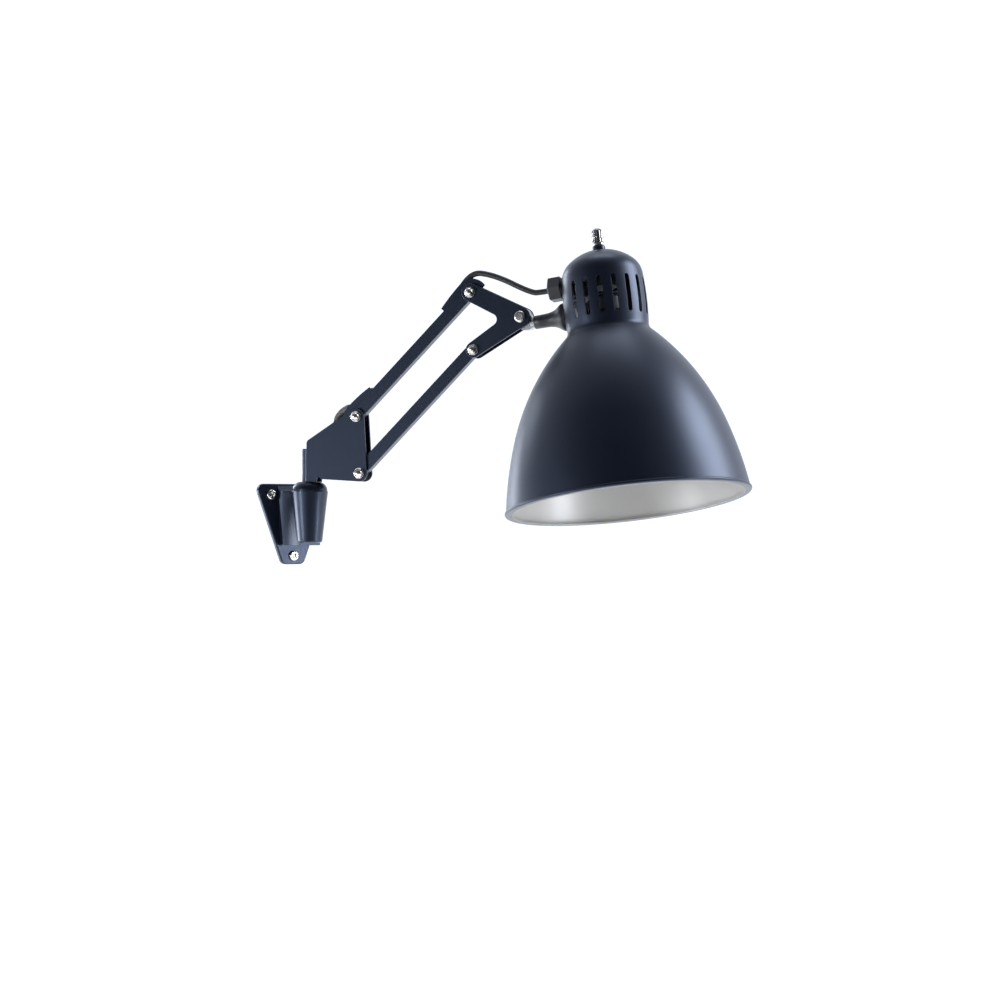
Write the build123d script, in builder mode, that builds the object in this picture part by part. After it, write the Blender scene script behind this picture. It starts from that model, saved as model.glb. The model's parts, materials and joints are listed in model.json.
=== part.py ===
"""Articulating wall lamp: wall bracket, swivel fork, parallel arms, head plates, spun shade.

The origin is the middle of the bracket's back face, which lies on the wall (Y = 0).
The lamp stands out toward -Y, with +Z up. The arms, fork and head share one upright plane,
the arm plane, which is swivelled about the post. Sketches in that plane use
(reach, height) as their coordinates, and their normal points to the near side.
"""

import os
from math import cos, pi, radians, sin, tan

from build123d import *

os.makedirs("parts", exist_ok=True)

# ---- driving dimensions, millimetres and degrees ----

# wall bracket
plate_top = 38.6
plate_bottom = 36.6
plate_top_half_width = 40.1
plate_bottom_half_width = 11.4
plate_thickness = 4.0
plate_corner = 6.5
plate_edge = 1.2
screw_spread = 24.0
screw_height = 28.5
screw_hole = 5.2
screw_shank = 4.5
screw_thread = 4.0
screw_length = 22.0
screw_point = 4.0
screw_head = 9.2
screw_head_height = 2.6
block_top = 31.4
block_bottom = 18.5
block_top_half_width = 16.7
block_bottom_half_width = 14.0
block_front_half_width = 11.2
block_waist = 2.2
block_overrun = 4.0
scoop_depth = 9.0

# swivel socket and post
post_reach = 34.0
socket_top = 39.5
socket_crease = 31.8
socket_bottom = 15.9
socket_top_radius = 16.9
socket_ledge = 0.6
socket_mouth_radius = 11.2
socket_crown = 0.9
socket_bottom_radius = 11.7
socket_floor = 5.0
socket_edge = 1.8
bush_wall = 2.0
post_radius = 5.45
post_wall = 1.5
post_foot = 0.0
post_top = 54.0
running_fit = 0.05
seat_gap = 0.2
swivel_angle = 37.2
cavity_width = 22.0
cavity_height = 12.0
cavity_middle = -10.5
cavity_depth = 15.0
passage_height = -7.4
passage_radius = 3.4

# linkage pivots, as (reach from the post, height)
pivot_a = (48.5, 99.7)
pivot_gap = 52.0
pivot_lean = 3.5
arm_length = 156.0
arm_angle = 45.2
head_reach = 47.6
head_drop = 23.3

# fork bracket
fork_sheet = 1.8
fork_inner_half = 5.5
fork_lobe = 7.6
fork_back_height = 70.6
fork_edge_reach = -0.3
fork_edge_corner = 4.0
fork_bottom = 40.2
fork_step_height = 79.4
fork_heel_reach = 14.0
fork_heel_height = 43.2
fork_relief = 4.5

# arms
arm_outer_half = 5.0
arm_sheet = 1.2
arm_below = 4.1
arm_above = 6.9
arm_bend = 1.3
shoe_outer_half = 3.75
shoe_sheet = 0.9
shoe_head = 13.0
shoe_crown_reach = 16.5
shoe_crown_height = 12.2
lower_shoe_reach = 27.4
upper_shoe_reach = 29.8
shoe_tip_height = 10.6
shoe_floor_gap = 0.05

# pivot hardware
bolt_radius = 2.5
bolt_clearance = 0.05
loop_clearance = 0.4
bolt_head_radius = 4.9
bolt_head_height = 3.0
washer_radius = 4.9
washer_thickness = 0.8
nut_flats = 8.0
nut_height = 2.6
nut_dome = 2.6
bush_radius = 3.9
spacer_radius = 6.4
side_play = 0.15
front_head_radius = 5.4
front_head_height = 3.4

# head plates
plate_c_lobe = 8.0
plate_d_lobe = 7.2
plate_e_lobe = 9.0
plate_crotch = 5.2
plate_edge_round = 0.6

# tongue and neck
shade_tilt = 8.5
shade_roll = -6.5
neck_drop = 6.7
tongue_half = 4.6
tongue_lobe = 8.4
neck_start = 11.0
neck_start_radius = 5.65
neck_flange_radius = 12.3
neck_flange_thickness = 1.2
neck_flare_reach = 16.0
neck_flare_rise = 1.2
stud_radius = 4.0
stud_inside = 11.0
neck_flange_reach = 39.3
gasket_thickness = 0.8
gasket_fit = 0.15

# shade: the bell's two arcs are shares of its rim radius, and the cap is measured from the waist
sheet = 1.2
rim_radius = 107.75
rim_height = 3.5
rim_bead = 1.7
rim_lip_radius = 103.1
rim_lip_height = 0.4
rim_angle = 7.6
bell_outer_share = 3.23
bell_outer_turn = 10.2
bell_upper_share = 1.995
bell_upper_turn = 28.2
waist_fillet = 8.0
waist_flare = 2.0
shoulder_arc = 20.0
shoulder_turn = 43.0
cap_height = 71.6
cap_swell = 1.0
cap_mid_rise = 29.2
cap_shoulder_drop = 24.4
cap_shoulder_inset = 1.1
slot_count = 13
slot_pitch = 20.0
slot_rise = 6.9
slot_length = 34.0
slot_width = 4.4
neck_rise = 17.2

# cable gland
gland_above_neck = 26.5
gland_stand_off = 0.5
gland_flats = 20.0
gland_length = 11.6
gland_thread = 8.0
gland_thread_inside = 9.4
gland_mouth = 4.6
gland_nut_inset = 4.8
gland_nut_height = 4.0
gland_washer_radius = 9.3
gland_entry = 8.0

# lampholder and switch
holder_radius = 17.5
holder_sleeve_radius = 14.4
holder_bore_radius = 13.4
holder_above_neck = 12.0
holder_length = 42.0
holder_bore_depth = 31.0
contact_width = 6.0
contact_space = 6.0
sleeve_lip = 2.0
bracket_sheet = 1.6
bracket_width = 18.0
bracket_inset = 2.8
bracket_foot_drop = 10.0
neck_nut_flats = 13.0
neck_nut_height = 4.8
switch_radius = 12.0
switch_length = 23.0
switch_shoulder_drop = 11.4
switch_clearance = 0.8
switch_shoulder_radius = 7.5
collar_radius = 5.8
collar_height = 4.4
collar_bore = 3.6
knob_radius = 5.4
knob_gap = 2.6
knob_length = 13.6
knob_grooves = 14
knob_groove = 0.5
stem_radius = 2.6
stem_ring_radius = 4.4

# lead
lead_radius = 2.6
sleeve_radius = 3.3
sleeve_bore = 2.7
sleeve_reach = 11.0
lead_in_arm_height = 0.9
lead_arm_start = 36.0
loop_start = 44.0
loop_rise = 32.0
lead_rise = 16.0

# ---- planes and shared points ----

side_plane = Plane(
    origin=(0, -post_reach, 0),
    x_dir=(sin(radians(swivel_angle)), -cos(radians(swivel_angle)), 0),
    z_dir=(-cos(radians(swivel_angle)), -sin(radians(swivel_angle)), 0),
)


def polar(point, distance, angle):
    """The point at a distance and direction from another, in the arm plane."""
    return (point[0] + distance * cos(radians(angle)), point[1] + distance * sin(radians(angle)))


def side(point, turn=0.0, offset=0.0):
    """A plane parallel to the arm plane, at a point of it, turned about its normal."""
    return Plane(side_plane.location * Location((point[0], point[1], offset), (0, 0, turn)))


pivot_b = polar(pivot_a, pivot_gap, pivot_lean - 90)
pivot_c = polar(pivot_a, arm_length, arm_angle)
pivot_d = polar(pivot_b, arm_length, arm_angle)
pivot_e = (pivot_c[0] + head_reach, pivot_c[1] - head_drop)
fork_outer_half = fork_inner_half + fork_sheet


def arc_rise(radius, start, turn):
    """How far an arc climbs while its lean from the upright turns from start by turn."""
    return radius * (sin(radians(start + turn)) - sin(radians(start)))


def arc_inward(radius, start, turn):
    """How far the same arc moves toward the shade's axis."""
    return radius * (cos(radians(start)) - cos(radians(start + turn)))


# the bell's outline follows from its rim, so the cap and all that it carries follow from the waist
bell_outer_arc = bell_outer_share * rim_radius
bell_upper_arc = bell_upper_share * rim_radius
upper_lean = rim_angle + bell_outer_turn
waist_lean = upper_lean + bell_upper_turn
waist_height = (
    rim_height
    + arc_rise(bell_outer_arc, rim_angle, bell_outer_turn)
    + arc_rise(bell_upper_arc, upper_lean, bell_upper_turn)
    + arc_rise(waist_fillet, -waist_flare, waist_lean + waist_flare)
)
waist_radius = (
    rim_radius
    - arc_inward(bell_outer_arc, rim_angle, bell_outer_turn)
    - arc_inward(bell_upper_arc, upper_lean, bell_upper_turn)
    - arc_inward(waist_fillet, -waist_flare, waist_lean + waist_flare)
)
cap_radius = waist_radius + cap_swell
cap_top_height = waist_height + cap_height
neck_height = waist_height + neck_rise
gland_height = neck_height + gland_above_neck
gland_face = cap_radius + gland_stand_off
holder_top = neck_height + holder_above_neck
holder_bottom = holder_top - holder_length
bracket_seat = cap_radius - bracket_inset
switch_shoulder = cap_top_height - switch_shoulder_drop
switch_bottom = switch_shoulder - switch_length
neck_to_shade_axis = neck_flange_reach + gasket_thickness + cap_radius

neck_origin = polar(pivot_e, neck_drop, shade_tilt - 90)
neck_plane = side(neck_origin, shade_tilt)
neck_axis_plane = Plane(origin=neck_plane.origin, x_dir=neck_plane.z_dir, z_dir=neck_plane.x_dir)
shade_axis = (neck_plane.y_dir.rotate(Axis((0, 0, 0), neck_plane.x_dir), shade_roll))
neck_crossing = neck_plane.from_local_coords((neck_to_shade_axis, 0, 0))
shade_plane = Plane(
    origin=neck_crossing - shade_axis * neck_height,
    x_dir=neck_plane.x_dir,
    z_dir=shade_axis,
)


def up_shade(height, turn=0.0):
    """A plane across the shade's axis at a height, its X away from the neck unless turned."""
    return Plane(shade_plane.location * Location((0, 0, height), (0, 0, turn)))


def out_of_cap(height, distance):
    """A plane that looks out of the cap toward the arms, at a distance from the shade's axis."""
    origin = shade_plane.from_local_coords((-distance, 0, height))
    return Plane(origin=origin, x_dir=shade_plane.y_dir * -1, z_dir=shade_plane.x_dir * -1)


def corner_radii(points):
    """The largest smooth radius at each inner corner of a route: 0.45 of its shorter run."""
    radii = []
    for before, corner, after in zip(points, points[1:], points[2:]):
        first = Vector(*corner) - Vector(*before)
        second = Vector(*after) - Vector(*corner)
        turn = first.get_angle(second)
        radii.append(0.45 * min(first.length, second.length) / tan(radians(turn / 2)))
    return radii


# ---- wall bracket ----

with BuildPart() as wall_bracket:
    with BuildSketch(Plane.XZ) as plate_outline:
        with BuildLine():
            Polyline(
                (-plate_top_half_width, plate_top),
                (plate_top_half_width, plate_top),
                (plate_bottom_half_width, -plate_bottom),
                (-plate_bottom_half_width, -plate_bottom),
                close=True,
            )
        make_face()
        fillet(plate_outline.vertices(), plate_corner)
    extrude(amount=plate_thickness)
    fillet(faces().sort_by(Axis.Y)[0].edges(), plate_edge)

# the gusset block: its side view swept across, cut to its waisted front view
with BuildPart() as gusset:
    with BuildSketch(Plane.YZ) as gusset_side:
        with BuildLine():
            scoop_start = (-plate_thickness + 0.5, plate_top - plate_edge)
            scoop_end = (-plate_thickness - scoop_depth, block_top)
            TangentArc(scoop_start, scoop_end, tangent=(-0.25, -1))
            Line(scoop_end, (-post_reach, block_top))
            Line((-post_reach, block_top), (-post_reach, -block_bottom))
            Line((-post_reach, -block_bottom), (-plate_thickness + 0.5, -block_bottom))
            Line((-plate_thickness + 0.5, -block_bottom), scoop_start)
        make_face()
    extrude(amount=block_top_half_width + block_overrun, both=True)
    with BuildSketch(Plane.XZ) as gusset_front:
        with BuildLine():
            Polyline(
                (-block_top_half_width, plate_top),
                (block_top_half_width, plate_top),
                (block_bottom_half_width, -block_bottom),
                (-block_bottom_half_width, -block_bottom),
                close=True,
            )
        make_face()
    extrude(amount=post_reach + 1, mode=Mode.INTERSECT)
    # hollow sides that run from the plate into the round of the socket
    for side_sign in (-1, 1):
        with BuildSketch(Plane.XY.offset(-block_bottom - 1)):
            with BuildLine():
                outside = side_sign * (block_top_half_width + block_overrun)
                flank = Spline(
                    (side_sign * block_top_half_width, -plate_thickness),
                    (side_sign * (block_bottom_half_width - block_waist), -0.5 * post_reach),
                    (side_sign * block_front_half_width, -post_reach),
                )
                Polyline(flank @ 1, (outside, -post_reach), (outside, -plate_thickness), flank @ 0)
            make_face()
        extrude(amount=block_top + plate_top, mode=Mode.SUBTRACT)

with BuildPart() as socket_body:
    with BuildSketch(Plane(origin=(0, -post_reach, 0), x_dir=(1, 0, 0), z_dir=(0, -1, 0))) as socket_half:
        with BuildLine():
            Line((0, -socket_bottom), (socket_bottom_radius - socket_edge, -socket_bottom))
            RadiusArc(
                (socket_bottom_radius - socket_edge, -socket_bottom),
                (socket_bottom_radius, -socket_bottom + socket_edge),
                -socket_edge,
            )
            Polyline(
                (socket_bottom_radius, -socket_bottom + socket_edge),
                (socket_top_radius, socket_crease - socket_ledge),
                (socket_top_radius - socket_ledge, socket_crease),
            )
            ThreePointArc(
                (socket_top_radius - socket_ledge, socket_crease),
                (
                    0.5 * (socket_top_radius + socket_mouth_radius) + socket_crown,
                    0.5 * (socket_crease + socket_top) + socket_crown,
                ),
                (socket_mouth_radius, socket_top),
            )
            Line((socket_mouth_radius, socket_top), (0, socket_top))
            Line((0, socket_top), (0, -socket_bottom))
        make_face()
    revolve(axis=Axis((0, -post_reach, 0), (0, 0, 1)))

bush_outer = post_radius + running_fit + bush_wall
with BuildPart() as bracket_casting:
    add(wall_bracket.part)
    add(gusset.part)
    add(socket_body.part)
    # bore for the bush, back cavity and lead passage
    with BuildSketch(Plane.XY.offset(socket_top)) as bore:
        with Locations((0, -post_reach)):
            Circle(bush_outer)
    extrude(amount=-(socket_top + socket_bottom - socket_floor), mode=Mode.SUBTRACT)
    with BuildSketch(Plane.XZ) as cavity:
        with Locations((0, cavity_middle)):
            RectangleRounded(cavity_width, cavity_height, 3)
    extrude(amount=cavity_depth, mode=Mode.SUBTRACT)
    with BuildSketch(Plane.XZ.offset(cavity_depth - 1)) as passage:
        with Locations((0, passage_height)):
            Circle(passage_radius)
    extrude(amount=post_reach - cavity_depth, mode=Mode.SUBTRACT)
    with BuildSketch(Plane.XZ) as screw_holes:
        with Locations((-screw_spread, screw_height), (screw_spread, screw_height), (0, -screw_height)):
            Circle(screw_hole / 2)
    extrude(amount=plate_thickness + 1, mode=Mode.SUBTRACT)
bracket_casting.part.label = "wall_bracket"
export_step(bracket_casting.part, "parts/wall_bracket.step")

with BuildPart() as wall_screws:
    for x, z in ((-screw_spread, screw_height), (screw_spread, screw_height), (0, -screw_height)):
        axis_plane = Plane(origin=(x, 0, z), x_dir=(1, 0, 0), z_dir=(0, -1, 0))
        with BuildSketch(axis_plane.offset(plate_thickness)):
            Circle(screw_head / 2)
        extrude(amount=screw_head_height)
        fillet(faces().filter_by(Plane.XZ).sort_by(Axis.Y)[0].edges(), 1.4)
        with BuildSketch(axis_plane):
            Circle(screw_shank / 2)
        extrude(amount=plate_thickness)
        with BuildSketch(axis_plane):
            Circle(screw_thread / 2)
        extrude(amount=-(screw_length - plate_thickness - screw_point))
        with BuildSketch(axis_plane.offset(-(screw_length - plate_thickness - screw_point))):
            Circle(screw_thread / 2)
        extrude(amount=-screw_point, taper=22)
wall_screws.part.label = "wall_screws"
export_step(wall_screws.part, "parts/wall_screws.step")

with BuildPart() as socket_bush:
    with BuildSketch(Plane.XY.offset(-socket_bottom + socket_floor)):
        with Locations((0, -post_reach)):
            Circle(bush_outer)
            Circle(post_radius + running_fit, mode=Mode.SUBTRACT)
    extrude(amount=socket_top + socket_bottom - socket_floor)
    with BuildSketch(Plane.XZ.offset(post_reach)):
        with Locations((0, passage_height)):
            Circle(passage_radius)
    extrude(amount=-post_reach, mode=Mode.SUBTRACT)
socket_bush.part.label = "socket_bush"
export_step(socket_bush.part, "parts/socket_bush.step")

washer_outer = socket_mouth_radius - 0.2
with BuildPart() as thrust_washer:
    with BuildSketch(Plane.XY.offset(socket_top)):
        with Locations((0, -post_reach)):
            Circle(washer_outer)
            Circle(post_radius + 2 * running_fit, mode=Mode.SUBTRACT)
    extrude(amount=fork_bottom - seat_gap - socket_top)
thrust_washer.part.label = "thrust_washer"
export_step(thrust_washer.part, "parts/thrust_washer.step")

terminal_width = 14.0
terminal_height = 9.0
terminal_depth = 8.0
terminal_centre = cavity_middle
with BuildPart() as terminal_block:
    with BuildSketch(Plane.XZ.offset(cavity_depth)):
        with Locations((0, terminal_centre)):
            RectangleRounded(terminal_width, terminal_height, 1)
    extrude(amount=-terminal_depth)
    with BuildSketch(Plane.XZ.offset(cavity_depth - terminal_depth)):
        with Locations((0, terminal_centre)):
            with GridLocations(6.5, 1, 2, 1):
                Circle(1.6)
    extrude(amount=2.5, mode=Mode.SUBTRACT)
terminal_block.part.label = "terminal_block"
export_step(terminal_block.part, "parts/terminal_block.step")

# ---- swivel fork ----

with BuildPart() as post_tube:
    with BuildSketch(Plane.XY.offset(post_foot)):
        with Locations((0, -post_reach)):
            Circle(post_radius)
            Circle(post_radius - post_wall, mode=Mode.SUBTRACT)
    extrude(amount=post_top - post_foot)
post_tube.part.label = "post_tube"
export_step(post_tube.part, "parts/post_tube.step")

# one sheet rolled round the post: its plan is swept up, then cut to its side view
with BuildPart() as fork_bracket:
    plan_plane = Plane(origin=(0, -post_reach, 0), x_dir=side_plane.x_dir, z_dir=(0, 0, 1))
    fork_end = pivot_b[0] + fork_lobe + 5
    with BuildSketch(plan_plane) as fork_plan:
        Circle(fork_outer_half)
        with Locations((fork_end / 2, 0)):
            Rectangle(fork_end, 2 * fork_outer_half)
        Circle(fork_inner_half, mode=Mode.SUBTRACT)
        with Locations((fork_end / 2, 0)):
            Rectangle(fork_end, 2 * fork_inner_half, mode=Mode.SUBTRACT)
    extrude(amount=pivot_a[1] + 20)
    with BuildSketch(side_plane) as fork_cheek:
        with Locations(pivot_a, pivot_b):
            Circle(fork_lobe)
        with Locations((fork_edge_reach + fork_edge_corner, fork_step_height - fork_edge_corner)):
            Circle(fork_edge_corner)
        with Locations(
            (fork_edge_reach + fork_edge_corner, fork_heel_height + fork_edge_corner),
            (fork_heel_reach, fork_heel_height + fork_edge_corner),
        ):
            Circle(fork_edge_corner)
        make_hull()
        # the roll round the post stands behind the cheeks and is cut off level below their top
        with BuildLine():
            Polyline(
                (-fork_outer_half - 1, fork_bottom),
                (-fork_outer_half - 1, fork_back_height),
                (fork_edge_reach + 1, fork_back_height),
                (fork_heel_reach - fork_relief, fork_heel_height + fork_relief),
                (fork_heel_reach - fork_relief, fork_bottom),
                close=True,
            )
        make_face()
    extrude(amount=2 * fork_outer_half, both=True, mode=Mode.INTERSECT)
    with BuildSketch(side_plane) as relief_slot:
        with Locations((fork_heel_reach - fork_relief / 2, fork_heel_height - fork_relief / 4)):
            Circle(fork_relief / 2)
    extrude(amount=2 * fork_outer_half, both=True, mode=Mode.SUBTRACT)
    with BuildSketch(side_plane) as fork_holes:
        with Locations(pivot_a, pivot_b):
            Circle(bolt_radius + bolt_clearance)
    extrude(amount=2 * fork_outer_half, both=True, mode=Mode.SUBTRACT)
fork_bracket.part.label = "fork_bracket"
export_step(fork_bracket.part, "parts/fork_bracket.step")


def discs(name, points, radius, bore, near, far):
    """Round discs on pivots, on both sides of the arm plane, as separate solids of one node."""
    with BuildPart() as result:
        for point in points:
            for start, end in ((near, far), (-far, -near)):
                with BuildSketch(side(point, offset=start)):
                    Circle(radius)
                    Circle(bore, mode=Mode.SUBTRACT)
                extrude(amount=end - start)
    result.part.label = name
    export_step(result.part, f"parts/{name}.step")
    return result


def bolts(name, points):
    """Cup-headed bolts through the linkage, heads on the far side."""
    stack = fork_outer_half + washer_thickness
    with BuildPart() as result:
        for point in points:
            with BuildSketch(side(point, offset=-fork_outer_half)):
                Circle(bolt_radius)
            extrude(amount=fork_outer_half + stack + nut_height + 0.6)
            with BuildSketch(side(point, offset=-fork_outer_half)):
                Circle(bolt_head_radius)
            extrude(amount=-bolt_head_height)
            with BuildSketch(side(point, offset=-fork_outer_half - bolt_head_height)):
                Circle(bolt_head_radius)
            extrude(amount=-0.1, taper=60)
    result.part.label = name
    export_step(result.part, f"parts/{name}.step")
    return result


def acorn_nuts(name, points):
    """Cap nuts on the near side: a hexagon under a round dome, hollow for the bolt's end."""
    seat = fork_outer_half + washer_thickness
    nut_profile_top = nut_height + nut_dome
    with BuildPart() as result:
        for point in points:
            with BuildSketch(side(point, offset=seat)):
                RegularPolygon(nut_flats / 2, 6, major_radius=False)
            extrude(amount=nut_height)
            lathe = Plane(
                origin=side(point, offset=seat).origin,
                x_dir=side_plane.x_dir,
                z_dir=side_plane.y_dir * -1,
            )
            with BuildSketch(lathe):
                with BuildLine():
                    Line((0, 0), (nut_flats / 2 - 0.3, 0))
                    Line((nut_flats / 2 - 0.3, 0), (nut_flats / 2 - 0.3, nut_height))
                    TangentArc((0, nut_profile_top), (nut_flats / 2 - 0.3, nut_height), tangent=(1, 0))
                    Line((0, nut_profile_top), (0, 0))
                make_face()
            revolve(axis=Axis(lathe.origin, side_plane.z_dir))
            with BuildSketch(side(point, offset=seat)):
                Circle(bolt_radius)
            extrude(amount=nut_height + 0.8, mode=Mode.SUBTRACT)
    result.part.label = name
    export_step(result.part, f"parts/{name}.step")
    return result


fork_points = (pivot_a, pivot_b)
head_points = (pivot_c, pivot_d)
fork_spacers = discs(
    "fork_spacers", fork_points, spacer_radius, bolt_radius + bolt_clearance,
    arm_outer_half + side_play, fork_inner_half,
)
fork_bolts = bolts("fork_bolts", fork_points)
fork_nuts = acorn_nuts("fork_nuts", fork_points)


def washers(name, points):
    """Plain washers under the near-side nuts."""
    with BuildPart() as result:
        for point in points:
            with BuildSketch(side(point, offset=fork_outer_half)):
                Circle(washer_radius)
                Circle(bolt_radius + bolt_clearance, mode=Mode.SUBTRACT)
            extrude(amount=washer_thickness)
    result.part.label = name
    export_step(result.part, f"parts/{name}.step")
    return result


fork_washers = washers("fork_washers", fork_points)

# ---- arms ----


def channel_arm(name, start):
    """An open-top channel: flanges with round ends, a web below that stops short of the pivots."""
    with BuildPart() as result:
        with BuildSketch(side(start, arm_angle)) as flange:
            with Locations((0, 0), (arm_length, 0)):
                Circle(arm_above)
            with Locations((arm_length / 2, (arm_above - arm_below) / 2)):
                Rectangle(arm_length, arm_above + arm_below)
            with Locations((arm_length / 2, -arm_below - arm_above)):
                Rectangle(arm_length + 4 * arm_above, 2 * arm_above, mode=Mode.SUBTRACT)
        extrude(amount=arm_outer_half, both=True)
        long_edges = edges().filter_by(Axis((0, 0, 0), side(start, arm_angle).x_dir))
        fillet(long_edges.sort_by(Axis((0, 0, 0), side(start, arm_angle).y_dir))[:2], arm_bend)
        inside = arm_outer_half - arm_sheet
        with BuildSketch(side(start, arm_angle)) as trough:
            trough_height = arm_above + arm_below - arm_sheet + 2
            with Locations((arm_length / 2, -arm_below + arm_sheet + trough_height / 2)):
                Rectangle(arm_length + 4 * arm_above, trough_height)
            for end in (-arm_above, arm_length + arm_above):
                with Locations((end, -arm_below)):
                    Rectangle(2 * arm_above, 6)
        extrude(amount=inside, both=True, mode=Mode.SUBTRACT)
        with BuildSketch(side(start, arm_angle)) as arm_holes:
            with Locations((0, 0), (arm_length, 0)):
                Circle(bush_radius)
        extrude(amount=2 * arm_outer_half, both=True, mode=Mode.SUBTRACT)
    result.part.label = name
    export_step(result.part, f"parts/{name}.step")
    return result


def arm_shoe(name, start, turn, tip_reach):
    """A raised U-shaped end inside the channel, whose round head guards the lead at the pivot."""
    floor = -arm_below + arm_sheet + shoe_floor_gap
    mirror_sign = 1 if turn < 90 else -1
    with BuildPart() as result:
        with BuildSketch(side(start, turn)) as shoe_side:
            Circle(shoe_head)
            with BuildLine():
                crown = ThreePointArc(
                    (tip_reach, shoe_tip_height * mirror_sign),
                    (shoe_crown_reach, shoe_crown_height * mirror_sign),
                    (0, shoe_head * mirror_sign),
                )
                Polyline(crown @ 1, (0, floor * mirror_sign), (tip_reach, floor * mirror_sign), crown @ 0)
            make_face()
            with Locations((0, (floor - shoe_head) * mirror_sign)):
                Rectangle(4 * shoe_head, 2 * shoe_head, mode=Mode.SUBTRACT)
        extrude(amount=shoe_outer_half, both=True)
        with BuildSketch(side(start, turn)) as shoe_inside:
            with Locations((0, (floor + shoe_sheet + 2 * shoe_head) * mirror_sign)):
                Rectangle(8 * tip_reach, 4 * shoe_head)
            with Locations((-shoe_head, 0)):
                Rectangle(2 * shoe_head, 4 * shoe_head)
        extrude(amount=shoe_outer_half - shoe_sheet, both=True, mode=Mode.SUBTRACT)
        with BuildSketch(side(start, turn)) as shoe_hole:
            Circle(bush_radius)
        extrude(amount=2 * shoe_outer_half, both=True, mode=Mode.SUBTRACT)
    result.part.label = name
    export_step(result.part, f"parts/{name}.step")
    return result


def arm_bushes(name, start, far_bore):
    """Flanged-free steel bushes pressed through the arm at its two pivots."""
    with BuildPart() as result:
        for reach, bore in ((0, bolt_radius + bolt_clearance), (arm_length, far_bore)):
            with BuildSketch(side(polar(start, reach, arm_angle), offset=-arm_outer_half)):
                Circle(bush_radius)
                Circle(bore, mode=Mode.SUBTRACT)
            extrude(amount=2 * arm_outer_half)
    result.part.label = name
    export_step(result.part, f"parts/{name}.step")
    return result


upper_arm = channel_arm("upper_arm", pivot_a)
lower_arm = channel_arm("lower_arm", pivot_b)
shoe_lower = arm_shoe("upper_arm_shoe_lower", pivot_a, arm_angle, lower_shoe_reach)
shoe_upper = arm_shoe("upper_arm_shoe_upper", pivot_c, arm_angle + 180, upper_shoe_reach)
upper_arm_bushes = arm_bushes("upper_arm_bushes", pivot_a, bolt_radius + bolt_clearance)
lower_arm_bushes = arm_bushes("lower_arm_bushes", pivot_b, bolt_radius + loop_clearance)

# ---- head plates ----


def head_plate(name, inner_offset):
    """A V-shaped plate: two straps from the arm pivots that meet round the front bolt."""
    with BuildPart() as result:
        for pivot, lobe in ((pivot_c, plate_c_lobe), (pivot_d, plate_d_lobe)):
            with BuildSketch(side_plane.offset(inner_offset)) as strap:
                with Locations(pivot):
                    Circle(lobe)
                with Locations(pivot_e):
                    Circle(plate_e_lobe)
                make_hull()
            extrude(amount=fork_sheet if inner_offset > 0 else -fork_sheet)
        between = side_plane.from_local_coords((*polar(pivot_e, head_reach / 2, 180), 0))
        upright = edges().filter_by(Axis(side_plane.origin, side_plane.z_dir))
        crotch = upright.filter_by(
            lambda edge: (edge.center() - side_plane.origin).dot(side_plane.x_dir)
            < pivot_e[0] - plate_e_lobe - 1
        ).sort_by(lambda edge: (edge.center() - between).length)[0]
        fillet(crotch, plate_crotch)
        outer_offset = inner_offset + (fork_sheet if inner_offset > 0 else -fork_sheet)
        outline = edges().filter_by(
            lambda edge: abs((edge.center() - side_plane.origin).dot(side_plane.z_dir) - outer_offset) < 0.01
        )
        fillet(outline, plate_edge_round)
        with BuildSketch(side_plane) as head_holes:
            with Locations(pivot_c, pivot_d, pivot_e):
                Circle(bolt_radius + bolt_clearance)
        extrude(amount=2 * fork_outer_half, both=True, mode=Mode.SUBTRACT)
    result.part.label = name
    export_step(result.part, f"parts/{name}.step")
    return result


head_plate_near = head_plate("head_plate_near", fork_inner_half)
head_plate_far = head_plate("head_plate_far", -fork_inner_half)
head_spacers = discs(
    "head_spacers", head_points, spacer_radius, bolt_radius + bolt_clearance,
    arm_outer_half + side_play, fork_inner_half,
)
head_bolts = bolts("head_bolts", head_points)
head_nuts = acorn_nuts("head_nuts", head_points)
head_washers = washers("head_washers", head_points)

# the front bolt has its round head on the near side and its nut on the far side
with BuildPart() as front_bolt:
    with BuildSketch(side(pivot_e, offset=fork_outer_half)):
        Circle(front_head_radius)
    extrude(amount=front_head_height)
    fillet(edges().filter_by(GeomType.CIRCLE).group_by(Axis((0, 0, 0), side_plane.z_dir))[-1], 2.2)
    with BuildSketch(side(pivot_e, offset=fork_outer_half)):
        Circle(bolt_radius)
    extrude(amount=-(2 * fork_outer_half + nut_height + 1))
front_bolt.part.label = "front_bolt"
export_step(front_bolt.part, "parts/front_bolt.step")

with BuildPart() as front_nut:
    with BuildSketch(side(pivot_e, offset=-fork_outer_half)):
        RegularPolygon(nut_flats / 2, 6, major_radius=False)
        Circle(bolt_radius, mode=Mode.SUBTRACT)
    extrude(amount=-nut_height - 1)
front_nut.part.label = "front_nut"
export_step(front_nut.part, "parts/front_nut.step")

# ---- swivel tongue and neck ----

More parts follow.
